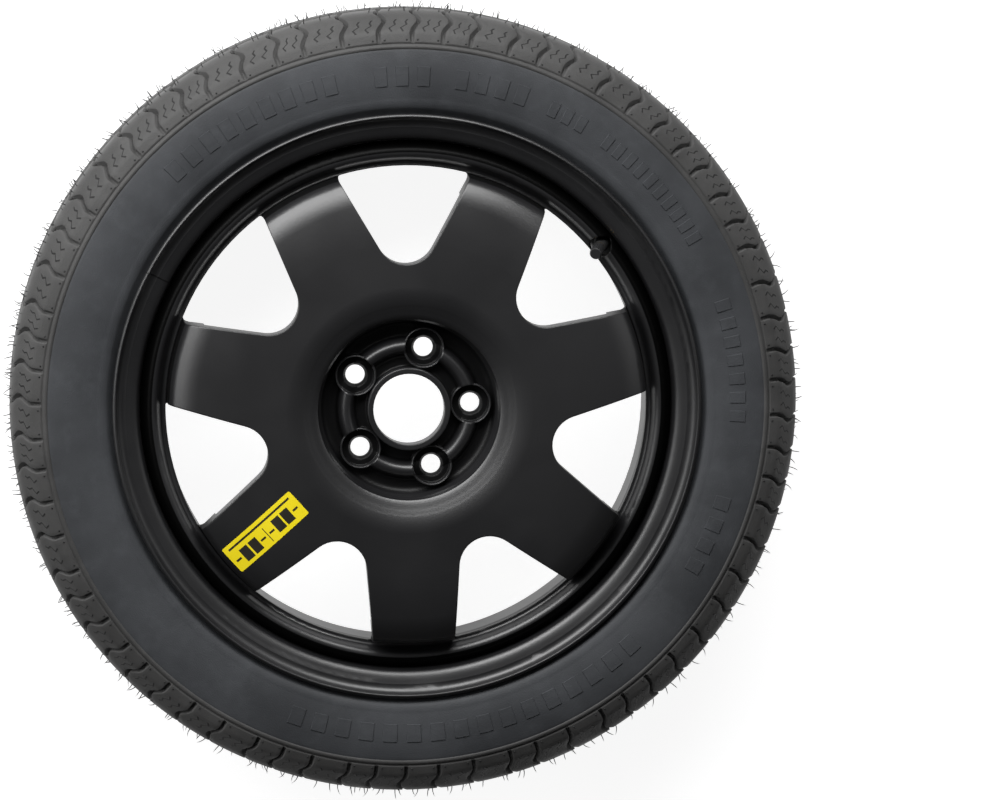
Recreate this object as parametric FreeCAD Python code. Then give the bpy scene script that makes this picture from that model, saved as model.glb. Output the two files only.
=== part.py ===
"""Temporary-use spare wheel: pressed steel disc, rolled rim, narrow tyre and snap-in valve.

Millimetres. The origin is the centre of the hub bore on the mounting face, +Z points out of the car,
and the valve lies on the +X side. Sections are drawn as (radius, height) and turned about Z.
"""
import FreeCAD, Part
import math
import os
from FreeCAD import Placement, Rotation, Vector

# Rim
rim_width = 101.6
wheel_inset = 40.0
seat_radius = 218.3
seat_taper = 5.0
front_seat_width = 22.0
rear_seat_width = 19.0
heel_bend = 6.5
flange_height = 17.2
flange_lip_width = 10.5
flange_curl_bend = 9.8
flange_edge_round = 1.2
well_depth = 19.3
well_wall_angle = 25.0
well_width = 30.0
well_bend = 5.0
rim_sheet = 3.0

# Disc
disc_sheet = 4.5
bore_radius = 28.55
collar_height = 18.0
collar_bend = 1.5
ridge_height = 13.5
ridge_top_width = 8.0
ridge_foot_width = 16.0
ridge_top_bend = 5.5
ridge_foot_bend = 3.0
dish_foot_gap = 19.5
dish_slope_width = 3.0
dish_foot_bend = 6.0
dish_shoulder_bend = 14.0
face_height = 29.0
crown_fall_length = 32.5
crown_bend = 250.0
spoke_end_gap = 3.0
spoke_end_height = 23.0
spoke_end_bend = 6.5
valley_inset = 24.8
valley_height = -8.0
valley_bend = 2.5
ring_inset = 14.8
ring_height = 13.0
ring_bend = 5.5
ring_flange_gap = 9.6
ring_flange_bend = 5.0
ring_flange_depth = 4.0
ring_seat_clearance = 0.1

# Bolt seats
bolt_count = 5
bolt_circle_radius = 50.0
bolt_hole_radius = 7.75
bolt_cone_radius = 9.75
bolt_cone_angle = 60.0
bolt_pad_radius = 14.7
bolt_pad_height = 5.5
bolt_boss_height = 11.5
bolt_boss_wall = 1.2
pocket_draft = 4.0

# Windows between the spokes
window_count = 7
window_inner_radius = 117.0
window_side_angle = 29.7
window_inner_corner = 24.0
window_outer_corner = 3.0
window_collar_depth = 16.0
window_collar_wall = 3.5

# Welds between disc and rim
weld_arc = 14.0
weld_leg = 2.2

# Tyre
tyre_radius = 318.5
section_width = 127.0
tread_width = 92.0
crown_drop = 3.0
crown_flat_width = 76.0
shoulder_bend = 8.0
buttress_depth = 17.5
buttress_inset = 5.0
bulge_share = 0.45
sidewall_foot_rise = 5.5
sidewall_foot_inset = 4.5
rim_guard_bend = 6.0
tread_thickness = 12.0
sidewall_thickness = 7.0
inner_shoulder_bend = 12.0
bead_width = 14.5
bead_height = 15.0
bead_bend = 8.0
bead_clearance = 0.2
tread_groove_count = 3
tread_groove_width = 7.0
tread_groove_floor = 5.0
tread_groove_depth = 6.5
tread_groove_spacing = 24.0

# Valve, measured along its own axis from the tyre side of the rim
valve_inset = 9.3
valve_hole_radius = 5.75
valve_hole_clearance = 0.1
valve_seat_gap = 0.3
valve_base_radius = 7.2
valve_base_height = 4.0
valve_bulb_radius = 7.0
valve_neck_radius = 4.9
valve_rubber_length = 22.0
valve_disc_clearance = 2.0
stem_tail_radius = 3.0
stem_tip_radius = 3.8
stem_length = 34.0
stem_bore_radius = 1.5
core_chamber_radius = 2.4
core_chamber_spare = 5.0
core_depth = 0.8
core_barrel_radius = 2.25
core_barrel_length = 7.0
core_throat_length = 2.5
core_spring_room = 1.5
core_clearance = 0.15
core_seal_groove = 0.5
core_seal_height = 1.2
pin_radius = 0.6
pin_head_radius = 1.2
pin_head_height = 0.8
pin_depth = 0.3
pin_travel = 1.5
pin_seal_radius = 1.9
pin_seal_height = 1.6
spring_wire_radius = 0.22
spring_wire_sides = 8
spring_turns = 4
spring_steps = 12
cap_radius = 5.0
cap_skirt = 10.0
cap_top = 1.6
cap_clearance = 0.3
cap_seal_height = 1.5
cap_seal_inset = 0.2
cap_seat_gap = 0.1
cap_flute_count = 16
cap_flute_radius = 0.6

# Sticker
sticker_length = 72.0
sticker_width = 24.0
sticker_thickness = 0.25
sticker_glue = 0.05
sticker_end_gap = 4.5
sticker_turn = 2.2
sticker_corner = 1.5

AXIS = Vector(0, 0, 1)
ORIGIN = Vector(0, 0, 0)
REACH = 2.0 * section_width


def tan(degrees):
    return math.tan(math.radians(degrees))


def sin(degrees):
    return math.sin(math.radians(degrees))


def cos(degrees):
    return math.cos(math.radians(degrees))


middle_plane = -wheel_inset
front_flange = middle_plane + rim_width / 2.0
rear_flange = middle_plane - rim_width / 2.0
flange_radius = seat_radius + flange_height
well_radius = seat_radius - well_depth
front_seat_end = front_flange - front_seat_width
front_seat_end_radius = seat_radius - front_seat_width * tan(seat_taper)
well_front = front_seat_end - (front_seat_end_radius - well_radius) * tan(well_wall_angle)
dish_foot_radius = bolt_circle_radius + dish_foot_gap
dish_top_radius = dish_foot_radius + dish_slope_width
ring_radius = seat_radius - ring_inset
ring_flange_height = front_seat_end + ring_flange_gap
valley_radius = seat_radius - valley_inset
spoke_end_radius = valley_radius - spoke_end_gap
crown_radius = spoke_end_radius - crown_fall_length
window_step = 360.0 / window_count
sidewall_foot_radius = flange_radius + sidewall_foot_rise
buttress_radius = tyre_radius - buttress_depth
bulge_radius = sidewall_foot_radius + bulge_share * (buttress_radius - sidewall_foot_radius)
valve_radius = seat_radius - valve_inset
sticker_centre_radius = spoke_end_radius - sticker_end_gap - sticker_length / 2.0


def at(radius, height):
    return Vector(radius, 0, height)


def bent_path(corners):
    """A wire through (radius, height, bend) corners, each corner rounded by its bend."""
    points = [at(radius, height) for radius, height, bend in corners]
    edges = []
    start = points[0]
    for before, corner, after, size in zip(points, points[1:], points[2:], corners[1:]):
        bend = size[2]
        towards = (before - corner).normalize()
        away = (after - corner).normalize()
        half = towards.getAngle(away) / 2.0
        if bend == 0:
            edges.append(Part.makeLine(start, corner))
            start = corner
            continue
        first = corner + towards * (bend / math.tan(half))
        last = corner + away * (bend / math.tan(half))
        crest = corner + (towards + away).normalize() * (bend / math.sin(half) - bend)
        edges.append(Part.makeLine(start, first))
        edges.append(Part.Arc(first, crest, last).toShape())
        start = last
    edges.append(Part.makeLine(start, points[-1]))
    return Part.Wire(edges)


def turned(face, degrees=360.0):
    return face.revolve(ORIGIN, AXIS, degrees)


def turned_outline(corners):
    """A solid of revolution inside a closed outline of (radius, height) corners."""
    points = [at(radius, height) for radius, height in corners]
    return turned(Part.Face(Part.makePolygon(points + points[:1])))


def turned_sheet(path, thickness):
    """A sheet of revolution between a path and its offset; a negative thickness lies behind it."""
    outline = path.makeOffset2D(thickness, 0, True, True)
    return turned(Part.Face(Part.Wire(Part.__sortEdges__(outline.Edges))))


def cylinder(radius, low, high):
    return Part.makeCylinder(radius, high - low, at(0, low))


def around(shape, count, first=0.0):
    """Copies of a shape spread evenly about the wheel's axis."""
    copies = []
    for number in range(count):
        copy = shape.copy()
        copy.rotate(ORIGIN, AXIS, first + number * 360.0 / count)
        copies.append(copy)
    return copies


def seat_underside(height):
    """Radius of the inner side of the front bead seat."""
    return seat_radius - rim_sheet / cos(seat_taper) - (front_flange - height) * tan(seat_taper)


def valve_place():
    """The valve stands square on the front wall of the well, tilted towards the wheel's axis."""
    height = front_seat_end - (front_seat_end_radius - valve_radius) * tan(well_wall_angle)
    return Placement(at(valve_radius, height), Rotation(Vector(0, 1, 0), -well_wall_angle))


def on_valve(shape):
    shape.Placement = valve_place().multiply(shape.Placement)
    return shape


# Rim

def rim():
    rear_seat_end = rear_flange + rear_seat_width
    path = bent_path([
        (flange_radius, front_flange + flange_lip_width, 0),
        (flange_radius, front_flange, flange_curl_bend),
        (seat_radius, front_flange, heel_bend),
        (front_seat_end_radius, front_seat_end, well_bend),
        (well_radius, well_front, well_bend),
        (well_radius, well_front - well_width, well_bend),
        (seat_radius - rear_seat_width * tan(seat_taper), rear_seat_end, well_bend),
        (seat_radius, rear_flange, heel_bend),
        (flange_radius, rear_flange, flange_curl_bend),
        (flange_radius, rear_flange - flange_lip_width, 0),
    ])
    body = turned_sheet(path, -rim_sheet)
    lips = (front_flange + flange_lip_width, rear_flange - flange_lip_width)
    edges = [edge for edge in body.Edges
             if any(abs(edge.BoundBox.ZMin - lip) + abs(edge.BoundBox.ZMax - lip) < 1e-3 for lip in lips)]
    body = body.makeFillet(flange_edge_round, edges)
    return body.cut(on_valve(cylinder(valve_hole_radius, -rim_sheet, 3 * rim_sheet)))


# Disc

def face_corners(lift=0.0):
    """The front of the disc from the foot of its dish to the valley past its spokes, lifted a little."""
    return [
        (dish_foot_radius, disc_sheet + lift, dish_foot_bend),
        (dish_top_radius, face_height + lift, dish_shoulder_bend),
        (crown_radius, face_height + lift, crown_bend),
        (spoke_end_radius, spoke_end_height + lift, spoke_end_bend),
        (valley_radius, valley_height + lift, valley_bend),
    ]


def disc_path():
    """The front of the whole disc, from the hub collar to the flange under the bead seat."""
    collar_radius = bore_radius + disc_sheet
    flange_end = ring_flange_height - ring_flange_depth
    return bent_path([
        (collar_radius, collar_height, 0),
        (collar_radius, disc_sheet, collar_bend),
        (bolt_circle_radius - ridge_foot_width / 2.0, disc_sheet, ridge_foot_bend),
        (bolt_circle_radius - ridge_top_width / 2.0, ridge_height, ridge_top_bend),
        (bolt_circle_radius + ridge_top_width / 2.0, ridge_height, ridge_top_bend),
        (bolt_circle_radius + ridge_foot_width / 2.0, disc_sheet, ridge_foot_bend),
    ] + face_corners() + [
        (ring_radius, ring_height, ring_bend),
        (seat_underside(ring_flange_height) - ring_seat_clearance, ring_flange_height, ring_flange_bend),
        (seat_underside(flange_end) - ring_seat_clearance, flange_end, 0),
    ])


def window_prism(grow=0.0):
    """One window on +X, as a prism through the disc with its rounded corners, grown all round."""
    side = window_side_angle
    corner = window_inner_corner + grow
    outer = valley_radius + grow
    corner_centre = window_inner_radius + window_inner_corner
    tangent_x = corner_centre - corner * sin(side)
    tangent_y = corner * cos(side)
    apex = corner_centre - corner / sin(side)
    run = math.sqrt(outer ** 2 - (apex * sin(side)) ** 2) - apex * cos(side)
    far_x = apex + run * cos(side)
    far_y = run * sin(side)
    low = -REACH
    outline = Part.Wire([
        Part.Arc(Vector(tangent_x, -tangent_y, low), Vector(corner_centre - corner, 0, low),
                 Vector(tangent_x, tangent_y, low)).toShape(),
        Part.makeLine(Vector(tangent_x, tangent_y, low), Vector(far_x, far_y, low)),
        Part.Arc(Vector(far_x, far_y, low), Vector(outer, 0, low), Vector(far_x, -far_y, low)).toShape(),
        Part.makeLine(Vector(far_x, -far_y, low), Vector(tangent_x, -tangent_y, low)),
    ])
    prism = Part.Face(outline).extrude(AXIS * (2 * REACH))
    corners = [edge for edge in prism.Edges
               if edge.BoundBox.ZLength > REACH and edge.BoundBox.XMin > far_x - 1e-3]
    return prism.makeFillet(window_outer_corner + grow, corners)


def window_collars():
    """The walls pressed back round the windows, none of them behind the mounting face."""
    band = turned_sheet(bent_path(face_corners()), -window_collar_depth)
    band = band.common(cylinder(REACH, 0, REACH))
    return band.common(Part.makeCompound(around(window_prism(window_collar_wall), window_count)))


def bolt_boss():
    """The round boss in the ridge that carries one bolt seat, on +X."""
    rim_radius = bolt_pad_radius + (bolt_boss_height - bolt_pad_height) * tan(pocket_draft)
    boss = cylinder(rim_radius + bolt_boss_wall, 0, bolt_boss_height)
    boss.translate(at(bolt_circle_radius, 0))
    return boss


def bolt_cut():
    """The pocket, cone seat and through hole of one bolt, on +X."""
    depth = collar_height - bolt_pad_height
    pocket = Part.makeCone(bolt_pad_radius, bolt_pad_radius + depth * tan(pocket_draft), depth,
                           at(0, bolt_pad_height))
    cone_depth = bolt_cone_radius / tan(bolt_cone_angle / 2.0)
    seat = Part.makeCone(0, bolt_cone_radius, cone_depth, at(0, bolt_pad_height - cone_depth))
    hole = cylinder(bolt_hole_radius, -disc_sheet, collar_height)
    cut = pocket.multiFuse([seat, hole])
    cut.translate(at(bolt_circle_radius, 0))
    return cut


def wheel_disc():
    first_bolt = 180.0 / bolt_count
    sheet = turned_sheet(disc_path(), -disc_sheet)
    body = sheet.multiFuse([window_collars()] + around(bolt_boss(), bolt_count, first_bolt))
    valve_room = on_valve(cylinder(valve_bulb_radius + valve_disc_clearance, rim_sheet, stem_length))
    cuts = around(window_prism(), window_count) + around(bolt_cut(), bolt_count, first_bolt) + [valve_room]
    return body.cut(cuts).removeSplitter()


def weld_beads():
    """Short fillet welds behind the spokes, between the disc's flange and the bead seat."""
    top = ring_flange_height - ring_flange_depth
    corner = at(seat_underside(top), top)
    bottom = at(seat_underside(top - weld_leg), top - weld_leg)
    inner = corner - at(weld_leg, 0)
    bead = turned(Part.Face(Part.makePolygon([corner, bottom, inner, corner])), weld_arc)
    return Part.makeCompound(around(bead, window_count, (window_step - weld_arc) / 2.0))


# Tyre

def tyre_outside():
    """Edges of the front half of the outer section, from the bead's toe to the crown."""
    side = section_width / 2.0
    toe = front_flange - bead_width
    heel = front_flange - bead_clearance
    foot = (sidewall_foot_radius, middle_plane + side - sidewall_foot_inset, 0)
    buttress = (buttress_radius, middle_plane + side - buttress_inset, 0)
    bead = bent_path([
        (seat_radius + bead_clearance - bead_width * tan(seat_taper), toe, 0),
        (seat_radius + bead_clearance, heel, heel_bend - bead_clearance),
        (flange_radius - sidewall_foot_inset, heel, rim_guard_bend),
        foot,
    ])
    wall = Part.Arc(at(*foot[:2]), at(bulge_radius, middle_plane + side), at(*buttress[:2])).toShape()
    crown_start = crown_point(crown_flat_width / 2.0)
    shoulder = bent_path([
        buttress,
        (tyre_radius - crown_drop, middle_plane + tread_width / 2.0, shoulder_bend),
        (crown_start.x, crown_start.z, 0),
    ])
    return bead.Edges + [wall] + shoulder.Edges


def crown_point(height):
    """A point of the crown's arc, at a height above the tyre's middle plane."""
    half = tread_width / 2.0
    radius = (half ** 2 + crown_drop ** 2) / (2.0 * crown_drop)
    return at(tyre_radius - radius + math.sqrt(radius ** 2 - height ** 2), middle_plane + height)


def tyre_inside():
    """Edges of the front half of the cavity, from the bead's toe to the middle of the crown."""
    side = section_width / 2.0 - sidewall_thickness
    toe = front_flange - bead_width
    foot = (sidewall_foot_radius + sidewall_thickness, middle_plane + side - sidewall_foot_inset, 0)
    buttress = (buttress_radius - sidewall_thickness / 2.0, middle_plane + side - buttress_inset, 0)
    lining = tyre_radius - tread_thickness
    bead = bent_path([
        (seat_radius + bead_clearance - bead_width * tan(seat_taper), toe, 0),
        (seat_radius + bead_height, toe, bead_bend),
        foot,
    ])
    wall = Part.Arc(at(*foot[:2]), at(bulge_radius, middle_plane + side), at(*buttress[:2])).toShape()
    shoulder = bent_path([
        buttress,
        (lining, middle_plane + tread_width / 2.0 - sidewall_thickness, inner_shoulder_bend),
        (lining, middle_plane, 0),
    ])
    return bead.Edges + [wall] + shoulder.Edges


def tread_grooves():
    """Straight grooves round the crown."""
    grooves = []
    for number in range(tread_groove_count):
        place = middle_plane + (number - (tread_groove_count - 1) / 2.0) * tread_groove_spacing
        floor = tyre_radius - tread_groove_depth
        grooves.append(turned_outline([
            (floor, place - tread_groove_floor / 2.0),
            (tyre_radius, place - tread_groove_width / 2.0),
            (tyre_radius + crown_drop, place - tread_groove_width / 2.0),
            (tyre_radius + crown_drop, place + tread_groove_width / 2.0),
            (tyre_radius, place + tread_groove_width / 2.0),
            (floor, place + tread_groove_floor / 2.0),
        ]))
    return grooves


def tyre():
    half = crown_flat_width / 2.0
    crown = Part.Arc(crown_point(half), crown_point(0), crown_point(-half)).toShape()
    front = tyre_outside() + tyre_inside()
    rear = [edge.mirror(at(0, middle_plane), AXIS) for edge in front]
    section = Part.Wire(Part.__sortEdges__(front + [crown] + rear))
    return turned(Part.Face(section)).cut(tread_grooves())


# Valve

def valve_body():
    """The moulded rubber: foot inside the tyre, neck in the rim's hole and tapered sleeve."""
    neck = valve_hole_radius - valve_hole_clearance
    outer = rim_sheet + valve_seat_gap
    return on_valve(turned_outline([
        (stem_tail_radius, -valve_base_height),
        (valve_base_radius - valve_seat_gap, -valve_base_height),
        (valve_base_radius, -valve_base_height / 2.0),
        (valve_base_radius, -valve_seat_gap),
        (neck, -valve_seat_gap),
        (neck, outer),
        (valve_bulb_radius, outer),
        (valve_bulb_radius, 2.0 * outer),
        (valve_neck_radius, valve_rubber_length),
        (stem_tail_radius, valve_rubber_length),
    ]))


def valve_stem():
    """The brass tube: thin in the rubber, thick where the cap screws on, bored for the core."""
    chamber = core_levels()[2] - pin_seal_height - pin_travel - core_chamber_spare
    return on_valve(turned_outline([
        (stem_bore_radius, -valve_base_height),
        (stem_tail_radius, -valve_base_height),
        (stem_tail_radius, valve_rubber_length),
        (stem_tip_radius, valve_rubber_length),
        (stem_tip_radius, stem_length),
        (core_chamber_radius, stem_length),
        (core_chamber_radius, chamber),
        (stem_bore_radius, chamber),
    ]))


def core_levels():
    """Top, throat top and bottom of the core's barrel along the valve."""
    top = stem_length - core_depth
    bottom = top - core_barrel_length
    return top, bottom + core_throat_length, bottom


def valve_core_body():
    """The barrel: a wide bore for the spring over a throat that guides the pin."""
    top, throat, bottom = core_levels()
    guide = pin_radius + core_clearance
    waist = core_barrel_radius - core_seal_groove
    return on_valve(turned_outline([
        (guide, bottom),
        (waist, bottom),
        (waist, bottom + core_seal_height),
        (core_barrel_radius, bottom + core_seal_height),
        (core_barrel_radius, top),
        (core_spring_room, top),
        (core_spring_room, throat),
        (guide, throat),
    ]))


def valve_core_seal():
    """The ring that seals the barrel in the stem."""
    bottom = core_levels()[2]
    return on_valve(turned_outline([
        (core_barrel_radius - core_seal_groove, bottom),
        (core_chamber_radius, bottom),
        (core_chamber_radius, bottom + core_seal_height),
        (core_barrel_radius - core_seal_groove, bottom + core_seal_height),
    ]))


def valve_pin():
    """The pin with the head that the spring pushes up."""
    head = stem_length - pin_depth
    tail = core_levels()[2] - pin_seal_height
    return on_valve(turned_outline([
        (0, tail),
        (pin_radius, tail),
        (pin_radius, head - pin_head_height),
        (pin_head_radius, head - pin_head_height),
        (pin_head_radius, head),
        (0, head),
    ]))


def valve_pin_seal():
    """The cup on the pin's tail that shuts the barrel from below."""
    bottom = core_levels()[2]
    return on_valve(turned_outline([
        (pin_radius, bottom - pin_seal_height),
        (pin_seal_radius, bottom - pin_seal_height),
        (pin_seal_radius, bottom - pin_seal_height / 2.0),
        (pin_radius + core_clearance, bottom),
        (pin_radius, bottom),
    ]))


def spring_section(turn, height):
    """The wire's flat-sided section at a turn of the coil, in degrees."""
    coil_radius = (pin_radius + core_spring_room) / 2.0
    corners = []
    for side in range(spring_wire_sides):
        angle = side * 360.0 / spring_wire_sides
        corner = at(coil_radius + spring_wire_radius * cos(angle), height + spring_wire_radius * sin(angle))
        corners.append(Rotation(AXIS, turn).multVec(corner))
    return Part.makePolygon(corners + corners[:1])


def valve_spring():
    """The coil between the throat and the pin's head."""
    throat = core_levels()[1]
    head = stem_length - pin_depth - pin_head_height
    low = throat + spring_wire_radius
    rise = (head - spring_wire_radius - low) / (spring_turns * spring_steps)
    sections = [spring_section(step * 360.0 / spring_steps, low + step * rise)
                for step in range(spring_turns * spring_steps + 1)]
    return on_valve(Part.makeLoft(sections, True, True))


def cap_levels():
    """Bottom of the skirt, underside of the top and top of the cap along the valve."""
    ceiling = stem_length + cap_seat_gap + cap_seal_height
    return stem_length - cap_skirt, ceiling, ceiling + cap_top


def valve_cap():
    """The screw cap, fluted for the fingers."""
    bottom, ceiling, top = cap_levels()
    bore = stem_tip_radius + cap_clearance
    body = turned_outline([
        (0, ceiling),
        (bore, ceiling),
        (bore, bottom),
        (cap_radius - cap_clearance, bottom),
        (cap_radius, bottom + cap_clearance),
        (cap_radius, top - cap_top),
        (cap_radius - cap_top / 2.0, top),
        (0, top),
    ])
    flute = cylinder(cap_flute_radius, bottom + cap_top, top)
    flute.translate(at(cap_radius + cap_flute_radius / 2.0, 0))
    return on_valve(body.cut(around(flute, cap_flute_count)))


def valve_cap_seal():
    """The rubber disc pressed into the cap."""
    ceiling = cap_levels()[1]
    return on_valve(cylinder(stem_tip_radius + cap_clearance - cap_seal_inset, ceiling - cap_seal_height,
                             ceiling))


# Sticker

def sticker():
    """A thin label that follows the front of the spoke opposite the valve."""
    skin = turned_sheet(bent_path(face_corners(sticker_glue)), sticker_thickness)
    blank = Part.makeBox(sticker_length, sticker_width, REACH)
    blank.translate(Vector(-sticker_length / 2.0, -sticker_width / 2.0, 0))
    blank = blank.makeFillet(sticker_corner, [edge for edge in blank.Edges
                                              if edge.BoundBox.ZLength > REACH / 2.0])
    blank.rotate(ORIGIN, AXIS, sticker_turn)
    blank.translate(Vector(-sticker_centre_radius, 0, spoke_end_height - disc_sheet))
    return skin.common(blank)


SUB_PARTS = (rim, wheel_disc, weld_beads, tyre, valve_body, valve_stem, valve_core_body, valve_core_seal,
             valve_pin, valve_pin_seal, valve_spring, valve_cap, valve_cap_seal, sticker)

os.makedirs("parts", exist_ok=True)
for sub_part in SUB_PARTS:
    sub_part().exportStep("parts/" + sub_part.__name__ + ".step")
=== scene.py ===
"""Looks of the temporary-use spare wheel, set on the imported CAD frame.

Metres, in the row frame: the origin is on the mounting face, +Z points out of the car and +X at
the valve. The sizes named below are in millimetres, unless their comment says otherwise. A place
in the tyre's section is (radius, side): side is the distance from the tyre's middle plane.
"""
import math
import random

import bpy
from mathutils import Matrix, Vector


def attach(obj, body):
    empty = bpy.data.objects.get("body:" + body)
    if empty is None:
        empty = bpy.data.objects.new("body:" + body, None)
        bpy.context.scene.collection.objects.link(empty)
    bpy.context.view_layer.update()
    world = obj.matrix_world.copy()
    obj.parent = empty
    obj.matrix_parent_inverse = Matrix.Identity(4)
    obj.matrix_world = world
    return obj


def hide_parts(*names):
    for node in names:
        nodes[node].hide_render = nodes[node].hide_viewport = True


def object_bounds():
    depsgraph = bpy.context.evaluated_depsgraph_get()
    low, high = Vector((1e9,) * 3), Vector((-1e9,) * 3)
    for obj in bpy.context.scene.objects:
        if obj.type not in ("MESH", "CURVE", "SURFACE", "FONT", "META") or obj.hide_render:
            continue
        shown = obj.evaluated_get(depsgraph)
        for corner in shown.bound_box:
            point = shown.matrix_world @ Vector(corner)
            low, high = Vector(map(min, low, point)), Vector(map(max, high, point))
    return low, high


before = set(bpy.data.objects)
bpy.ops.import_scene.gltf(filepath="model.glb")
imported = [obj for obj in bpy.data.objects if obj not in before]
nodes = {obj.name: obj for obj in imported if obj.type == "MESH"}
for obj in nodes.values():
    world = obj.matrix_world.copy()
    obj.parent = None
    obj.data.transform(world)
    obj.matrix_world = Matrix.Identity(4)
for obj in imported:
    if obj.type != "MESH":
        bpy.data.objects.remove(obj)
cad_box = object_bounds()
MM = 0.001

# Tyre section
MIDDLE = -40.0
TYRE_RADIUS = 318.5
CROWN_DROP = 3.0
TREAD_HALF = 46.0
SHOULDER_END = 38.0
FOOT = (241.0, 59.0)
BULGE = (268.0, 63.5)
BUTTRESS = (301.0, 58.5)

# Side wall: rows of the bead, then even rows with a fine rib near the rim and a tucked outer end
BEAD_ROWS = ((219.0, 44.0), (222.0, 49.0), (226.0, 50.5), (231.0, 50.7), (234.5, 52.0),
             (237.5, 55.0), (239.2, 57.4))
WALL_SPAN = (241.0, 287.5)
WALL_ROWS = 26
WALL_STEPS = 360
RIM_RIB = (244.0, 246.5)
RIM_RIB_RISE = 0.35
TUCK_START = 286.0
TUCK = 0.35

# Rows of plain raised bars on the side wall: start and end angle in degrees, number, inner and
# outer radius
WALL_MARKS = (
    (62.0, 96.0, 9, 257.0, 273.0),
    (46.0, 57.0, 3, 257.0, 273.0),
    (29.0, 43.0, 4, 257.0, 273.0),
    (18.0, 26.0, 3, 258.0, 271.0),
    (-10.0, 15.0, 10, 258.0, 271.0),
    (-43.0, -20.0, 7, 258.0, 271.0),
    (-71.0, -55.0, 4, 258.0, 271.0),
    (-152.0, -85.0, 16, 256.0, 271.0),
)
MARK_RISE = 0.6
MARK_SINK = 0.3
MARK_SHARE = 0.62
MARK_EDGE = 0.5

# Ridge below the tread blocks: radius, and rise over the side wall's own curve
RIDGE_ROWS = ((285.2, -0.6), (286.3, 0.0), (286.65, 0.55), (289.35, 0.55), (289.9, -0.45),
              (290.5, -0.45), (291.2, 0.35))

# Foot of the tread blocks: radius, and depth of the cross grooves there
BLOCK_FOOT_ROWS = ((292.2, 1.6), (294.0, 2.4), (297.0, 3.0), (299.6, 3.4))
BLOCK_FOOT_RISE = 0.35

# Shares of the way along the tread's slanted edge, and along the bend from there to the crown
SLANT_STEPS = (0.06, 0.14, 0.3, 0.48, 0.66)
BEND_STEPS = (0.15, 0.32, 0.5, 0.68, 0.85)

# Pitches of the tread and the cross grooves between them
PITCHES = 70
PITCH_MIX = (0.84, 1.0, 1.16, 0.92, 1.08)
PITCH_MIX_STEP = 3
PITCH_MIX_RUN = 7
BLOCK_COLUMNS = 6
GROOVE_HALF = 2.0
GROOVE_FLOOR_HALF = 1.1
GROOVE_LAND = 0.5
GROOVE_ROUND_SHARE = 0.04
GROOVE_DEPTH = 5.0
RIB_CUT_DEPTH = 3.0
# Course of a cross groove: way from the ridge, and run round the tyre
GROOVE_COURSE = ((0.0, 0.0), (9.5, 0.0), (13.0, -1.5), (21.0, -7.0), (31.0, 0.5), (44.0, -4.0),
                 (66.0, 3.0))
# Share of a cross groove's depth that is cut straight at the axis, by the zone of the tread
FOOT_ZONE = (290.0, 301.0)
FOOT_LEAN = 0.55
SHOULDER_SIDE = 40.0
SHOULDER_LEAN = 0.8

# Grooves round the tread, and the sides of further rows on its blocks and ribs
SIDE_GROOVE = 24.0
MIDDLE_GROOVE = 0.0
RING_GROOVE_HALF = 3.5
RING_GROOVE_FLOOR_HALF = 2.5
RING_GROOVE_DEPTH = 6.5
RING_GROOVE_LAND = 0.5
RING_GROOVE_ROUND = 0.15
BLOCK_SIDE = 33.0
RIB_SIDES = (16.0, 12.0, 8.0)

# Zigzag cuts in the tread blocks, drawn on the tread piece's block map; their dark colour is
# painted shade in the cuts
BLOCK_MAP = "block"
BLOCK_MAP_REACH = 100.0
SIPES_PER_BLOCK = 3.0
SIPE_PITCH = 9.5
SIPE_SWING = 3.2
SIPE_SLANT = 0.9
SIPE_SHIFT = -1.4
SIPE_LINE = (0.5, 0.95)
SIPE_START = (9.0, 9.8)
SIPE_END = (21.0, 21.8)
SIPE_BLOCK_SHARE = (0.36, 0.38)
SIPE_PAINTED_SHADE = 0.06
SIPE_RELIEF = -3.0

# Moulding hairs on the tread, and the pips at the corners of its blocks
HAIR_SEED = 5
HAIR_SHARES = (0.2, 0.36, 0.66, 0.82)
HAIR_SIDES = (41.0, 14.0, -14.0, -41.0)
HAIR_MISSING = 0.3
HAIR_SCATTER = 0.05
HAIR_LEAN = 0.4
HAIR_AXIS_LEAN = (-0.3, 0.5)
HAIR_LENGTH = (4.0, 8.0)
HAIR_RADIUS = 0.42
HAIR_ROOT = 0.4
HAIR_BEND = 0.6
HAIR_CORNERS = 5
# Rings of a hair: share of its length, and of its radius
HAIR_RINGS = ((0.0, 1.0), (0.35, 0.85), (0.7, 0.7))
PIP_SHARES = (0.17, 0.83)
PIP_PLACE = 293.4
PIP_RISE = 0.2
PIP_SIZE = 0.9
PIP_OUTWARD = 0.3
PIP_SIDEWAYS = 0.95

# Colours and finish
NOISE_RANGE = (0.3, 0.7)
TREAD_COLOUR = (0.0465, 0.046, 0.0455)
WALL_COLOUR = (0.0395, 0.0418, 0.0458)
HAIR_COLOUR = (0.012, 0.012, 0.012)
VALVE_COLOUR = (0.014, 0.014, 0.0145)
RUBBER_TONES = (0.82, 1.18)
RUBBER_ROUGHNESS = (0.5, 0.64)
RUBBER_SPECULAR = 0.32
DUST_RANGE = (0.45, 0.8)
DUST_SHARE = 0.25
DUST_TONE = 2.0
PAINT_COLOURS = ((0.0075, 0.0075, 0.0082, 1.0), (0.0115, 0.0115, 0.0125, 1.0))
PAINT_SHADOW_COLOUR = (0.0015, 0.0015, 0.0015, 1.0)
PAINT_ROUGHNESS = (0.36, 0.43)
PAINT_SPECULAR = 0.86
PAINT_SHADOW_SPECULAR = -0.8
PAINT_EDGE = 1.8
SEAM_RELIEF = 6.0
GRAIN_TONES = (0.85, 1.12)
GRAIN_ROUGHNESS = 0.06
VINYL_YELLOWS = ((0.8, 0.64, 0.008, 1.0), (0.88, 0.72, 0.015, 1.0))
VINYL_DARK = (0.02, 0.018, 0.012, 1.0)
VINYL_ROUGHNESS = (0.38, 0.5)

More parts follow.
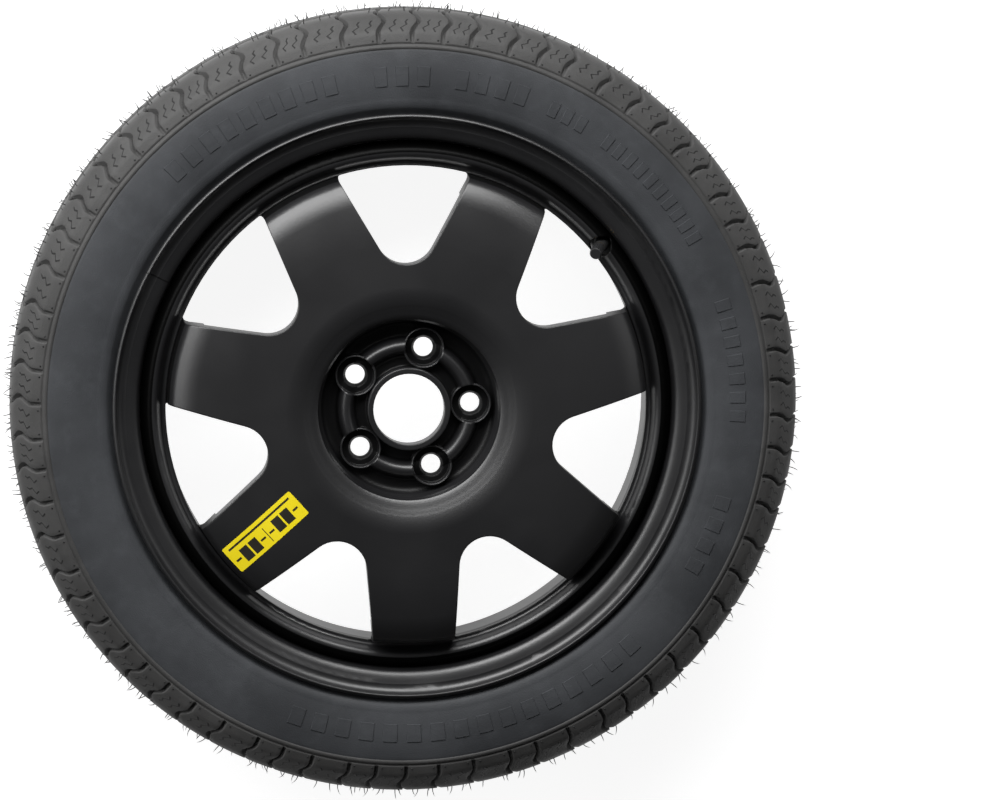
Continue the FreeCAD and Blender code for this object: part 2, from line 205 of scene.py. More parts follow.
# Sticker: its place on the spoke along -X, its turn in degrees, and its dark bars, each from its
# middle as along from, along to, across from, across to
STICKER_PLACE = 150.0
STICKER_TURN = -2.2
BAR_SOFTNESS = 0.15
STICKER_BARS = (
    (-26.0, -18.3, -9.0, 3.0),
    (-16.7, -9.0, -9.0, 3.0),
    (8.5, 16.2, -8.2, 3.8),
    (17.8, 25.5, -8.2, 3.8),
    (-0.35, 0.35, -10.0, 4.0),
    (-32.0, 32.0, 7.0, 8.8),
    (-33.0, -28.0, -3.8, -2.0),
    (-7.4, -2.4, -4.0, -2.2),
    (1.8, 6.8, -4.0, -2.2),
    (27.5, 32.5, -3.0, -1.2),
)

# Painted shade on the pressed disc, in its colour and sheen: the slots beside its ring, the floor
# of its dish, its spokes' end walls
SLOT_START = 203.8
SLOT_SOFTNESS = 1.0
DISH_EDGE = 70.0
DISH_SOFTNESS = 3.0
DISH_SHADE = 0.75
DISH_FLOOR = (6.0, 10.5)
END_WALL = (190.2, 193.4)
END_WALL_SOFTNESS = 0.8
END_WALL_SHADE = 0.85

# Soft bends that the paint's shading carries: from radius, to radius, middle radius, bend; the
# bend is negative where it hollows the surface
DISC_BOWS = (
    (44.0, 56.0, 50.0, 14.0),
    (72.0, 99.2, 99.2, 40.8),
    (73.0, 84.9, 84.9, -11.5),
    (73.0, 80.0, 80.0, -18.0),
    (168.0, 192.0, 168.0, 45.0),
)
HEEL_BOW = (215.5, 225.0, 221.4, -12.0)
LIP_START = 232.3
LIP_LEAN = 0.5
# Butt weld across the rim: angle in degrees, edge of its seam in radians
SEAM_ANGLE = 112.0
SEAM_EDGE = (0.0012, 0.004)
SEAM_SHADE = 0.7

# Stage, in metres and watts; a lamp's place is up and right in the picture, and height
FLOOR_SIZE = 6.0
FLOOR_GAP = 0.0005
FLOOR_COLOUR = (0.4, 0.4, 0.4, 1.0)
FLOOR_ROUGHNESS = 0.9
FLOOR_GLOW = 0.9
WHITE = (1.0, 1.0, 1.0, 1.0)
WORLD_STRENGTH = 0.035
LAMPS = (
    ("key", (1.25, -0.4, 0.95), (2.6, 0.9), 58.0),
    ("left_fill", (0.2, -1.7, 0.9), (1.2, 1.2), 9.0),
    ("right_fill", (0.5, 1.9, 0.9), (1.2, 1.2), 3.5),
)

# Camera: angles in degrees, distance in metres, places in the picture in pixels
ROLL = math.radians(-40.0 + 0.23)
RIGHT = Vector((math.cos(ROLL), math.sin(ROLL), 0.0))
UP = Vector((-math.sin(ROLL), math.cos(ROLL), 0.0))
CAMERA_LEFT = 3.9
CAMERA_ABOVE = 7.96
CAMERA_DISTANCE = 2.6
FOCAL_PIXELS = 3234.5
PICTURE_WIDTH = 1000.0
PICTURE_MIDDLE = (500.0, 400.0)
ORIGIN_IN_PICTURE = (407.6, 406.3)
SENSOR_WIDTH = 36.0
CLIP_END = 50.0


def link(obj):
    bpy.context.scene.collection.objects.link(obj)
    return obj


def mesh_piece(name, verts, faces, material, smooth=True):
    mesh = bpy.data.meshes.new(name)
    mesh.from_pydata(verts, [], faces)
    mesh.validate()
    mesh.materials.append(material)
    for face in mesh.polygons:
        face.use_smooth = smooth
    return link(bpy.data.objects.new(name, mesh))


# Node helpers

def new_material(name):
    material = bpy.data.materials.new(name)
    material.use_nodes = True
    tree = material.node_tree
    return material, tree, tree.nodes["Principled BSDF"]


def set_input(tree, socket, value):
    """Link a socket to another node's output, or give it a constant."""
    if isinstance(value, bpy.types.NodeSocket):
        tree.links.new(value, socket)
    else:
        socket.default_value = value


def node(tree, kind, inputs=(), **settings):
    made = tree.nodes.new(kind)
    for key, value in settings.items():
        setattr(made, key, value)
    for socket, value in dict(inputs).items():
        set_input(tree, made.inputs[socket], value)
    return made


def math_node(tree, operation, first, second=0.0, third=0.0):
    made = node(tree, "ShaderNodeMath", {0: first, 1: second, 2: third}, operation=operation)
    return made.outputs[0]


def smooth_step(tree, value, low, high, to_low=0.0, to_high=1.0):
    made = node(tree, "ShaderNodeMapRange",
                {"Value": value, "From Min": low, "From Max": high,
                 "To Min": to_low, "To Max": to_high},
                interpolation_type="SMOOTHSTEP")
    return made.outputs["Result"]


def noise(tree, vector, scale, detail=4.0, roughness=0.55):
    made = node(tree, "ShaderNodeTexNoise", {"Vector": vector, "Scale": scale, "Detail": detail,
                                             "Roughness": roughness})
    return made.outputs["Fac"]


def mix_colour(tree, factor, first, second):
    made = node(tree, "ShaderNodeMix", data_type="RGBA")
    for socket, value in ((0, factor), (6, first), (7, second)):
        set_input(tree, made.inputs[socket], value)
    return made.outputs[2]


def bump_normal(tree, height, strength, distance, normal=None):
    inputs = {"Height": height, "Strength": strength, "Distance": distance}
    if normal is not None:
        inputs["Normal"] = normal
    return node(tree, "ShaderNodeBump", inputs).outputs["Normal"]


def object_place(tree):
    return node(tree, "ShaderNodeTexCoord").outputs["Object"]


def axis_distance(tree, place):
    """Distance from the wheel's axis, in metres."""
    flat = node(tree, "ShaderNodeVectorMath", {0: place, 1: (1.0, 1.0, 0.0)}, operation="MULTIPLY")
    length = node(tree, "ShaderNodeVectorMath", {0: flat.outputs[0]}, operation="LENGTH")
    return length.outputs["Value"]


def axis_angle(tree, place):
    """Angle about the wheel's axis, in radians."""
    split = node(tree, "ShaderNodeSeparateXYZ", {"Vector": place})
    return math_node(tree, "ARCTAN2", split.outputs[1], split.outputs[0])


# Materials

def shade(colour, factor):
    return tuple(channel * factor for channel in colour) + (1.0,)


def rubber(name, colour, sipes=False):
    """Dusty moulded rubber, with the zigzag cuts of the tread where sipes is set; the cuts' colour
    is darkened as painted shade.
    """
    material, tree, shader = new_material(name)
    place = object_place(tree)
    dark, light = RUBBER_TONES
    cloud = noise(tree, place, scale=14.0)
    dust = smooth_step(tree, noise(tree, place, scale=60.0, detail=6.0, roughness=0.65),
                       *DUST_RANGE)
    tone = mix_colour(tree, smooth_step(tree, cloud, *NOISE_RANGE), shade(colour, dark),
                      shade(colour, light))
    tone = mix_colour(tree, math_node(tree, "MULTIPLY", dust, DUST_SHARE), tone,
                      shade(colour, DUST_TONE))
    fine = noise(tree, place, scale=900.0, detail=3.0)
    broad = noise(tree, place, scale=35.0, detail=2.0)
    height = math_node(tree, "MULTIPLY_ADD", broad, 0.5, fine)
    rough = smooth_step(tree, cloud, *NOISE_RANGE, *RUBBER_ROUGHNESS)
    shader.inputs["Specular IOR Level"].default_value = RUBBER_SPECULAR
    if sipes:
        cut = sipe_mask(tree)
        # painted shade: the cuts' colour is darkened where shade falls in them
        tone = mix_colour(tree, cut, tone, shade(colour, SIPE_PAINTED_SHADE))
        height = math_node(tree, "MULTIPLY_ADD", cut, SIPE_RELIEF, height)
    tree.links.new(tone, shader.inputs["Base Color"])
    tree.links.new(rough, shader.inputs["Roughness"])
    tree.links.new(bump_normal(tree, height, strength=0.35, distance=0.0006),
                   shader.inputs["Normal"])
    return material


def sipe_mask(tree):
    """One on the short zigzag cuts near the tread's edge, by the block map of the tread piece."""
    block = node(tree, "ShaderNodeUVMap", uv_map=BLOCK_MAP).outputs["UV"]
    split = node(tree, "ShaderNodeSeparateXYZ", {"Vector": block})
    along, across = split.outputs[0], split.outputs[1]
    reach = math_node(tree, "MULTIPLY", across, BLOCK_MAP_REACH)
    swing = math_node(tree, "PINGPONG", reach, SIPE_SWING)
    shift = math_node(tree, "MULTIPLY_ADD", swing, SIPE_SLANT, SIPE_SHIFT)
    beat = math_node(tree, "MULTIPLY", along, SIPES_PER_BLOCK)
    near = math_node(tree, "WRAP", beat, 0.5, -0.5)
    offset = math_node(tree, "MULTIPLY_ADD", near, SIPE_PITCH, shift)
    line = smooth_step(tree, math_node(tree, "ABSOLUTE", offset), *SIPE_LINE, 1.0, 0.0)
    start = smooth_step(tree, reach, *SIPE_START)
    end = smooth_step(tree, reach, *SIPE_END, 1.0, 0.0)
    from_middle = math_node(tree, "ABSOLUTE", math_node(tree, "SUBTRACT", along, 0.5))
    inside = smooth_step(tree, from_middle, *SIPE_BLOCK_SHARE, 1.0, 0.0)
    return math_node(tree, "MULTIPLY", math_node(tree, "MULTIPLY", line, inside),
                     math_node(tree, "MULTIPLY", start, end))


def black_paint(name, profile):
    """Satin black over pressed steel, with rounded edges.

    profile gives the shadow from 0 to 1, the form in metres and the relief from 0 to 1.
    """
    material, tree, shader = new_material(name)
    place = object_place(tree)
    peel = noise(tree, place, scale=420.0, detail=2.0)
    cloud = noise(tree, place, scale=9.0, detail=3.0)
    colour = mix_colour(tree, cloud, *PAINT_COLOURS)
    rough = smooth_step(tree, cloud, *NOISE_RANGE, *PAINT_ROUGHNESS)
    edge = node(tree, "ShaderNodeBevel", {"Radius": PAINT_EDGE * MM}, samples=6)
    shadow, form, relief = profile(tree, place)
    shape = bump_normal(tree, form, strength=1.0, distance=1.0, normal=edge.outputs["Normal"])
    height = math_node(tree, "MULTIPLY_ADD", relief, SEAM_RELIEF, peel)
    tree.links.new(mix_colour(tree, shadow, colour, PAINT_SHADOW_COLOUR),
                   shader.inputs["Base Color"])
    tree.links.new(math_node(tree, "MULTIPLY_ADD", shadow, PAINT_SHADOW_SPECULAR, PAINT_SPECULAR),
                   shader.inputs["Specular IOR Level"])
    tree.links.new(rough, shader.inputs["Roughness"])
    tree.links.new(bump_normal(tree, height, strength=0.12, distance=0.0004, normal=shape),
                   shader.inputs["Normal"])
    return material


def bowed(tree, radius, low, high, middle, bend):
    """Height of a round bow about a middle radius, flat before low and after high."""
    kept = math_node(tree, "MAXIMUM", math_node(tree, "MINIMUM", radius, high * MM), low * MM)
    off = math_node(tree, "SUBTRACT", kept, middle * MM)
    square = math_node(tree, "MULTIPLY", off, off)
    return math_node(tree, "MULTIPLY", square, -0.5 / (bend * MM))


def radius_step(tree, radius, start, softness, to_low=0.0, to_high=1.0):
    """A soft step that starts at a radius."""
    return smooth_step(tree, radius, start * MM, (start + softness) * MM, to_low, to_high)


def disc_profile(tree, place):
    """The soft bends of the pressing, and the painted shade in its dish, slots and end walls."""
    radius = axis_distance(tree, place)
    height = node(tree, "ShaderNodeSeparateXYZ", {"Vector": place}).outputs[2]
    slot = radius_step(tree, radius, SLOT_START, SLOT_SOFTNESS)
    dish = radius_step(tree, radius, DISH_EDGE, DISH_SOFTNESS, DISH_SHADE, 0.0)
    floor_low, floor_high = DISH_FLOOR
    low = smooth_step(tree, height, floor_low * MM, floor_high * MM, 1.0, 0.0)
    shadow = math_node(tree, "MAXIMUM", slot, math_node(tree, "MULTIPLY", dish, low))
    wall_start, wall_end = END_WALL
    end_wall = math_node(
        tree, "MULTIPLY", radius_step(tree, radius, wall_start, END_WALL_SOFTNESS),
        radius_step(tree, radius, wall_end, END_WALL_SOFTNESS, END_WALL_SHADE, 0.0))
    shadow = math_node(tree, "MAXIMUM", shadow, end_wall)
    form = 0.0
    for bow in DISC_BOWS:
        form = math_node(tree, "ADD", form, bowed(tree, radius, *bow))
    return shadow, form, 0.0


def rim_profile(tree, place):
    """The lip's end leaning outwards, the hollow past the heel, and the butt weld's seam."""
    radius = axis_distance(tree, place)
    past = math_node(tree, "MAXIMUM", math_node(tree, "SUBTRACT", radius, LIP_START * MM), 0.0)
    form = math_node(tree, "MULTIPLY_ADD", past, -LIP_LEAN, bowed(tree, radius, *HEEL_BOW))
    off = math_node(tree, "SUBTRACT", axis_angle(tree, place), math.radians(SEAM_ANGLE))
    seam = smooth_step(tree, math_node(tree, "ABSOLUTE", off), *SEAM_EDGE, 1.0, 0.0)
    return math_node(tree, "MULTIPLY", seam, SEAM_SHADE), form, seam


def grained(name, colour, roughness, metallic=0.0):
    """A plain material with a fine grain in its colour, roughness and surface."""
    material, tree, shader = new_material(name)
    grain = noise(tree, object_place(tree), scale=500.0, detail=3.0)
    dark, light = GRAIN_TONES
    tree.links.new(mix_colour(tree, grain, shade(colour, dark), shade(colour, light)),
                   shader.inputs["Base Color"])
    tree.links.new(smooth_step(tree, grain, *NOISE_RANGE, roughness - GRAIN_ROUGHNESS,
                               roughness + GRAIN_ROUGHNESS),
                   shader.inputs["Roughness"])
    shader.inputs["Metallic"].default_value = metallic
    tree.links.new(bump_normal(tree, grain, strength=0.15, distance=0.0002),
                   shader.inputs["Normal"])
    return material


def within(tree, value, low, high):
    """One where a value lies between two others, with soft ends."""
    middle, half = (low + high) / 2.0, (high - low) / 2.0
    off = math_node(tree, "ABSOLUTE", math_node(tree, "SUBTRACT", value, middle))
    return smooth_step(tree, off, half - BAR_SOFTNESS, half + BAR_SOFTNESS, 1.0, 0.0)


def vinyl(name):
    """Yellow label with plain dark bars where the print is."""
    material, tree, shader = new_material(name)
    place = object_place(tree)
    in_mm = node(tree, "ShaderNodeMapping", {"Vector": place, "Scale": (1.0 / MM,) * 3})
    centred = node(tree, "ShaderNodeVectorMath",
                   {0: in_mm.outputs["Vector"], 1: (STICKER_PLACE, 0.0, 0.0)}, operation="ADD")
    local = node(tree, "ShaderNodeVectorRotate",
                 {"Vector": centred.outputs["Vector"], "Angle": math.radians(STICKER_TURN)},
                 rotation_type="Z_AXIS")
    split = node(tree, "ShaderNodeSeparateXYZ", {"Vector": local.outputs["Vector"]})
    along, across = split.outputs[0], split.outputs[1]
    dark = 0.0
    for x0, x1, y0, y1 in STICKER_BARS:
        bar = math_node(tree, "MULTIPLY", within(tree, along, x0, x1),
                        within(tree, across, y0, y1))
        dark = math_node(tree, "MAXIMUM", dark, bar)
    wear = noise(tree, place, scale=60.0, detail=5.0)
    yellow = mix_colour(tree, wear, *VINYL_YELLOWS)
    tree.links.new(mix_colour(tree, dark, yellow, VINYL_DARK), shader.inputs["Base Color"])
    tree.links.new(smooth_step(tree, wear, *NOISE_RANGE, *VINYL_ROUGHNESS),
                   shader.inputs["Roughness"])
    tree.links.new(bump_normal(tree, wear, strength=0.1, distance=0.0003),
                   shader.inputs["Normal"])
    return material


tread_rubber = rubber("tread_rubber", TREAD_COLOUR, sipes=True)
wall_rubber = rubber("wall_rubber", WALL_COLOUR)
hair_rubber = rubber("hair_rubber", HAIR_COLOUR)
paint = black_paint("satin_black_paint", disc_profile)
rim_paint = black_paint("satin_black_rim_paint", rim_profile)
valve_rubber = rubber("valve_rubber_black", VALVE_COLOUR)
brass = grained("brass_stem", (0.72, 0.5, 0.2), roughness=0.34, metallic=1.0)
spring_steel = grained("spring_steel_wire", (0.55, 0.55, 0.56), roughness=0.3, metallic=1.0)
cap_plastic = grained("cap_black_plastic", (0.02, 0.02, 0.021), roughness=0.36)
yellow_vinyl = vinyl("yellow_vinyl_print")

NODE_MATERIALS = {
    "rim": rim_paint,
    "wheel_disc": paint,
    "weld_beads": paint,
    "valve_body": valve_rubber,
    "valve_stem": brass,
    "valve_core_body": brass,
    "valve_core_seal": valve_rubber,
    "valve_pin": brass,
    "valve_pin_seal": valve_rubber,
    "valve_spring": spring_steel,
    "valve_cap": cap_plastic,
    "valve_cap_seal": valve_rubber,
    "sticker": yellow_vinyl,
}
for node_name, node_material in NODE_MATERIALS.items():
    node_mesh = nodes[node_name].data
    node_mesh.materials.clear()
    node_mesh.materials.append(node_material)


# Tyre

def circle_through(first, middle, last):
    """Centre and radius of the circle through three points."""
    (ax, ay), (bx, by), (cx, cy) = first, middle, last
    a, b, c = ax * ax + ay * ay, bx * bx + by * by, cx * cx + cy * cy
    d = 2.0 * (ax * (by - cy) + bx * (cy - ay) + cx * (ay - by))
    x = (a * (by - cy) + b * (cy - ay) + c * (ay - by)) / d
    y = (a * (cx - bx) + b * (ax - cx) + c * (bx - ax)) / d
    return x, y, math.hypot(ax - x, ay - y)


WALL_CIRCLE = circle_through(FOOT, BULGE, BUTTRESS)
CROWN_RADIUS = (TREAD_HALF ** 2 + CROWN_DROP ** 2) / (2.0 * CROWN_DROP)


def wall_side(radius):
    """Distance of the side wall's outside from the middle plane."""
    x, y, size = WALL_CIRCLE
    return y + math.sqrt(size ** 2 - (radius - x) ** 2)


def crown_height(side):
    """Radius of the tread's crown at a distance from the middle plane."""
    return TYRE_RADIUS - CROWN_RADIUS + math.sqrt(CROWN_RADIUS ** 2 - side ** 2)


def on_wheel(radius, angle, height):
    """A place in metres from a radius and height in millimetres and an angle in radians."""
    return radius * math.cos(angle) * MM, radius * math.sin(angle) * MM, height * MM


def grid_faces(rows, count):
    """Faces between rows of a ring of count places each."""
    faces = []
    for row in range(rows - 1):
        for step in range(count):
            after = (step + 1) % count
            faces.append((row * count + step, row * count + after,
                          (row + 1) * count + after, (row + 1) * count + step))
    return faces


def shoulder_rows():
    """Rows over the slanted edge of the tread, from the buttress to the crown."""
    corner = (TYRE_RADIUS - CROWN_DROP, TREAD_HALF)
    run = (corner[0] - BUTTRESS[0], corner[1] - BUTTRESS[1])
    rows = [(BUTTRESS[0] + run[0] * t, BUTTRESS[1] + run[1] * t) for t in SLANT_STEPS]
    head = rows[-1]
    tail = (crown_height(SHOULDER_END), SHOULDER_END)
    for t in BEND_STEPS:
        rows.append(tuple((1 - t) ** 2 * a + 2 * t * (1 - t) * b + t ** 2 * c
                          for a, b, c in zip(head, corner, tail)))
    return rows + [tail]


def groove_wall(middle, sign):
    """One wall of a groove round the tread, from its land to its floor: side and drop."""
    return [(middle + sign * (RING_GROOVE_HALF + RING_GROOVE_LAND), 0.0),
            (middle + sign * RING_GROOVE_HALF, RING_GROOVE_ROUND),
            (middle + sign * RING_GROOVE_FLOOR_HALF, RING_GROOVE_DEPTH)]


def half_rows():
    """Rows of the front half of the tread piece: radius, side and depth of the cross grooves."""
    rows = [(radius, wall_side(radius) + rise, 0.0) for radius, rise in RIDGE_ROWS]
    rows += [(radius, wall_side(radius) + BLOCK_FOOT_RISE, depth)
             for radius, depth in BLOCK_FOOT_ROWS]
    rows += [(radius, side, GROOVE_DEPTH) for radius, side in shoulder_rows()]
    blocks = [(BLOCK_SIDE, 0.0)] + groove_wall(SIDE_GROOVE, 1.0)
    ribs = groove_wall(SIDE_GROOVE, -1.0)[::-1] + [(side, 0.0) for side in RIB_SIDES]
    middle = groove_wall(MIDDLE_GROOVE, 1.0)
    for zone, cut in ((blocks, GROOVE_DEPTH), (ribs, RIB_CUT_DEPTH), (middle, 0.0)):
        for side, drop in zone:
            depth = 0.0 if drop == RING_GROOVE_DEPTH else cut
            rows.append((crown_height(side) - drop, side, depth))
    return rows


def tread_rows():
    front = half_rows()
    return front + [(radius, -side, depth) for radius, side, depth in reversed(front)]


def pitch_angles():
    """Start angle of each pitch of the tread, in radians; the pitches differ a little."""
    sizes = [PITCH_MIX[(number * PITCH_MIX_STEP + number // PITCH_MIX_RUN) % len(PITCH_MIX)]
             for number in range(PITCHES)]
    total = sum(sizes)
    angles = [0.0]
    for size in sizes:
        angles.append(angles[-1] + size * 2.0 * math.pi / total)
    return angles


def swing_at(reach):
    """Run of a cross groove round the tyre, by the way from the ridge."""
    for (a, low), (b, high) in zip(GROOVE_COURSE, GROOVE_COURSE[1:]):
        if reach <= b:
            return low + (high - low) * (reach - a) / (b - a)
    return GROOVE_COURSE[-1][1]


def cut_lean(radius, side):
    """Share of a cross groove's depth that goes straight at the axis; the rest goes inwards."""
    if FOOT_ZONE[0] < radius < FOOT_ZONE[1]:
        return FOOT_LEAN
    return SHOULDER_LEAN if abs(side) > SHOULDER_SIDE else 1.0


def tread_columns():
    """Columns round the tread: angle, share of groove depth, pitch number, place in the pitch."""
    section = [(-GROOVE_HALF - GROOVE_LAND, 0.0), (-GROOVE_HALF, GROOVE_ROUND_SHARE),
               (-GROOVE_FLOOR_HALF, 1.0), (GROOVE_FLOOR_HALF, 1.0),
               (GROOVE_HALF, GROOVE_ROUND_SHARE), (GROOVE_HALF + GROOVE_LAND, 0.0)]
    angles = pitch_angles()
    columns = []
    for number, (start, stop) in enumerate(zip(angles, angles[1:])):
        for offset, share in section:
            turn = offset / TYRE_RADIUS
            columns.append((start + turn, share, number, turn / (stop - start)))
        first = start + section[-1][0] / TYRE_RADIUS
        last = stop + section[0][0] / TYRE_RADIUS
        for step in range(1, BLOCK_COLUMNS + 1):
            angle = first + (last - first) * step / (BLOCK_COLUMNS + 1)
            columns.append((angle, 0.0, number, (angle - start) / (stop - start)))
    return columns


def tread_piece():
    """The tread from ridge to ridge, with its grooves and a map of its blocks."""
    rows = tread_rows()
    columns = tread_columns()
    count = len(columns)
    reach = [0.0]
    for before, after in zip(rows, rows[1:]):
        reach.append(reach[-1] + math.hypot(after[0] - before[0], after[1] - before[1]))
    ridge_reach = reach[len(RIDGE_ROWS) - 1]
    way = [min(value, reach[-1] - value) - ridge_reach for value in reach]
    verts = []
    for (radius, side, depth), steps in zip(rows, way):
        mirrored = -1.0 if side < 0 else 1.0
        shift = swing_at(max(steps, 0.0)) * mirrored / TYRE_RADIUS
        lean = cut_lean(radius, side)
        inwards = math.sqrt(1.0 - lean * lean)
        for angle, share, _, _ in columns:
            sunk = depth * share
            verts.append(on_wheel(radius - sunk * lean, angle + shift,
                                  MIDDLE + side - mirrored * sunk * inwards))
    piece = mesh_piece("tyre_tread", verts, grid_faces(len(rows), count), tread_rubber)
    layer = piece.data.uv_layers.new(name=BLOCK_MAP)
    for face in piece.data.polygons:
        corners = [piece.data.loops[index].vertex_index for index in face.loop_indices]
        face_pitch = columns[corners[0] % count][2]
        for index, vertex in zip(face.loop_indices, corners):
            _, _, pitch, along = columns[vertex % count]
            if along < 0 and pitch != face_pitch:
                along += 1.0
            layer.data[index].uv = (along, way[vertex // count] / BLOCK_MAP_REACH)
    return piece


def wall_rows(front):
    """Rows of one side wall: radius and height."""
    rows = list(BEAD_ROWS)
    low, high = WALL_SPAN
    for row in range(WALL_ROWS):
        radius = low + (high - low) * row / (WALL_ROWS - 1)
        rise = RIM_RIB_RISE if RIM_RIB[0] < radius < RIM_RIB[1] else 0.0
        tuck = TUCK if radius > TUCK_START else 0.0
        rows.append((radius, wall_side(radius) + rise - tuck))
    sign = 1.0 if front else -1.0
    return [(radius, MIDDLE + sign * side) for radius, side in rows]


def lathe(name, rows, count, material, flip=False):
    verts = [on_wheel(radius, 2.0 * math.pi * step / count, height)
             for radius, height in rows for step in range(count)]
    faces = [quad if flip else quad[::-1] for quad in grid_faces(len(rows), count)]
    return mesh_piece(name, verts, faces, material)


def edged(low, high, edge):
    """Places from one end to the other: both ends, the tops of both edges and two between."""
    run = high - low
    return [low, low + edge, low + 0.4 * run, low + 0.6 * run, high - edge, high]


def wall_marks():
    """Low bars on the front wall in place of its moulded marks, each one a sloped-edged patch."""
    verts = []
    faces = []
    for start, stop, number, low, high in WALL_MARKS:
        beat = math.radians(stop - start) / number
        half = beat * MARK_SHARE / 2.0
        for bar_number in range(number):
            middle = math.radians(start) + (bar_number + 0.5) * beat
            base = len(verts)
            radii = edged(low, high, MARK_EDGE)
            last = len(radii) - 1
            for row, radius in enumerate(radii):
                angles = edged(middle - half, middle + half, MARK_EDGE / radius)
                for column, angle in enumerate(angles):
                    on_edge = row in (0, last) or column in (0, last)
                    side = wall_side(radius) + (-MARK_SINK if on_edge else MARK_RISE)
                    verts.append(on_wheel(radius, angle, MIDDLE + side))
            width = last + 1
            for row in range(last):
                for column in range(last):
                    corner = base + row * width + column
                    faces.append((corner, corner + width, corner + width + 1, corner + 1))
    return mesh_piece("tyre_wall_marks", verts, faces, wall_rubber, smooth=False)


def hairs():
    """Moulding hairs that stand out of the tread, and the pips at the blocks' corners."""
    rng = random.Random(HAIR_SEED)
    verts = []
    faces = []

    def hair(point, way, length, thick):
        side = way.orthogonal().normalized()
        other = way.cross(side)
        bend = (side * rng.uniform(-1, 1) + other * rng.uniform(-1, 1)) * length * HAIR_BEND
        base = len(verts)
        for share, size in HAIR_RINGS:
            middle = point + way * (length * share) + bend * share * share
            for step in range(HAIR_CORNERS):
                turn = 2.0 * math.pi * step / HAIR_CORNERS
                spoke = side * math.cos(turn) + other * math.sin(turn)
                verts.append(middle + spoke * thick * size)
        tip = len(verts)
        last_ring = tip - HAIR_CORNERS
        verts.append(point + way * length + bend)
        for step in range(HAIR_CORNERS):
            after = (step + 1) % HAIR_CORNERS
            for ring in range(base, last_ring, HAIR_CORNERS):
                above = ring + HAIR_CORNERS
                faces.append((ring + step, ring + after, above + after, above + step))
            faces.append((last_ring + step, last_ring + after, tip))

    angles = pitch_angles()
    for start, stop in zip(angles, angles[1:]):
        for share in HAIR_SHARES:
            for side in HAIR_SIDES:
                if rng.random() < HAIR_MISSING:
                    continue
                scatter = rng.uniform(-HAIR_SCATTER, HAIR_SCATTER)
                angle = start + (stop - start) * (share + scatter)
                out = Vector((math.cos(angle), math.sin(angle), 0.0))
                lean = Vector((rng.uniform(-HAIR_LEAN, HAIR_LEAN),
                               rng.uniform(-HAIR_LEAN, HAIR_LEAN), rng.uniform(*HAIR_AXIS_LEAN)))
                root = crown_height(abs(side)) - HAIR_ROOT
                point = (out * root + Vector((0, 0, MIDDLE + side))) * MM
                hair(point, (out + lean).normalized(), rng.uniform(*HAIR_LENGTH) * MM,
                     HAIR_RADIUS * MM)
        for share in PIP_SHARES:
            angle = start + (stop - start) * share
            for front in (1.0, -1.0):
                out = Vector((math.cos(angle) * PIP_OUTWARD, math.sin(angle) * PIP_OUTWARD,
                              PIP_SIDEWAYS * front)).normalized()
                height = MIDDLE + front * (wall_side(PIP_PLACE) + PIP_RISE)
                point = Vector(on_wheel(PIP_PLACE, angle, height))
                hair(point, out, PIP_SIZE * MM, PIP_SIZE * MM)
    return mesh_piece("tyre_moulding_hairs", [tuple(v) for v in verts], faces, hair_rubber)


tread = tread_piece()
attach(tread, "wheel")
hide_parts("tyre")
for piece in (lathe("tyre_wall_front", wall_rows(True), WALL_STEPS, wall_rubber),
              lathe("tyre_wall_rear", wall_rows(False), WALL_STEPS, wall_rubber, flip=True),
              wall_marks(), hairs()):
    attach(piece, "wheel")


# Stage

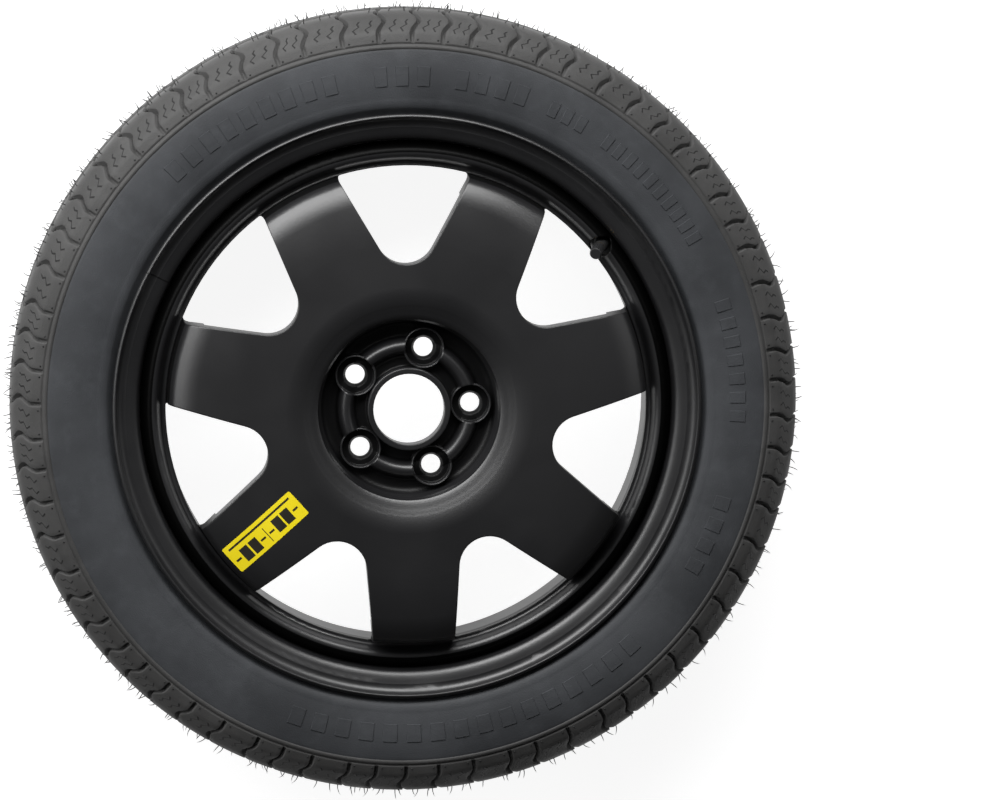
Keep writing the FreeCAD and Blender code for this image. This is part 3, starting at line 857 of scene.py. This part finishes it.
def floor():
    """A pale floor that looks white to the camera and in reflections, and keeps the shadow."""
    low = cad_box[0][2] - FLOOR_GAP
    material, tree, shader = new_material("pale_floor")
    shader.inputs["Base Color"].default_value = FLOOR_COLOUR
    shader.inputs["Roughness"].default_value = FLOOR_ROUGHNESS
    rays = node(tree, "ShaderNodeLightPath").outputs
    seen = math_node(tree, "MAXIMUM", rays["Is Camera Ray"], rays["Is Glossy Ray"])
    seen = math_node(tree, "MAXIMUM", seen, rays["Is Transmission Ray"])
    glow = node(tree, "ShaderNodeEmission",
                {"Color": WHITE, "Strength": math_node(tree, "MULTIPLY", seen, FLOOR_GLOW)})
    both = node(tree, "ShaderNodeAddShader", {0: shader.outputs[0], 1: glow.outputs[0]})
    tree.links.new(both.outputs[0], tree.nodes["Material Output"].inputs["Surface"])
    verts = [(-FLOOR_SIZE, -FLOOR_SIZE, low), (FLOOR_SIZE, -FLOOR_SIZE, low),
             (FLOOR_SIZE, FLOOR_SIZE, low), (-FLOOR_SIZE, FLOOR_SIZE, low)]
    return mesh_piece("floor", verts, [(0, 1, 2, 3)], material, smooth=False)


def area_light(name, place, size, power):
    """A rectangular lamp that faces the origin."""
    light = bpy.data.lights.new(name, "AREA")
    light.shape = "RECTANGLE"
    light.size, light.size_y = size
    light.energy = power
    lamp = link(bpy.data.objects.new(name, light))
    lamp.location = place
    lamp.rotation_euler = (-place).to_track_quat("-Z", "Y").to_euler()


def camera():
    """Nearly square on, from a little above and left of the axis, as the photograph was taken."""
    towards = (Vector((0, 0, 1)) - RIGHT * math.tan(math.radians(CAMERA_LEFT))
               + UP * math.tan(math.radians(CAMERA_ABOVE)))
    towards.normalize()
    look = -towards
    right = look.cross(UP).normalized()
    above = right.cross(look)
    off_right = (PICTURE_MIDDLE[0] - ORIGIN_IN_PICTURE[0]) / FOCAL_PIXELS
    off_above = (ORIGIN_IN_PICTURE[1] - PICTURE_MIDDLE[1]) / FOCAL_PIXELS
    aim = (look + right * off_right + above * off_above).normalized()
    right = aim.cross(above).normalized()
    above = right.cross(aim)
    data = bpy.data.cameras.new("camera")
    data.sensor_width = SENSOR_WIDTH
    data.lens = FOCAL_PIXELS * SENSOR_WIDTH / PICTURE_WIDTH
    data.clip_end = CLIP_END
    made = link(bpy.data.objects.new("camera", data))
    turn = Matrix((right, above, -aim)).transposed().to_4x4()
    made.matrix_world = Matrix.Translation(towards * CAMERA_DISTANCE) @ turn
    return made


floor()

for lamp_name, (lamp_up, lamp_right, lamp_height), lamp_size, lamp_power in LAMPS:
    lamp_place = UP * lamp_up + RIGHT * lamp_right + Vector((0, 0, lamp_height))
    area_light(lamp_name, lamp_place, lamp_size, lamp_power)

world = bpy.data.worlds.new("studio")
bpy.context.scene.world = world
world.use_nodes = True
background = world.node_tree.nodes["Background"]
background.inputs["Color"].default_value = WHITE
background.inputs["Strength"].default_value = WORLD_STRENGTH

bpy.context.scene.camera = camera()
bpy.context.scene.view_settings.view_transform = "Standard"
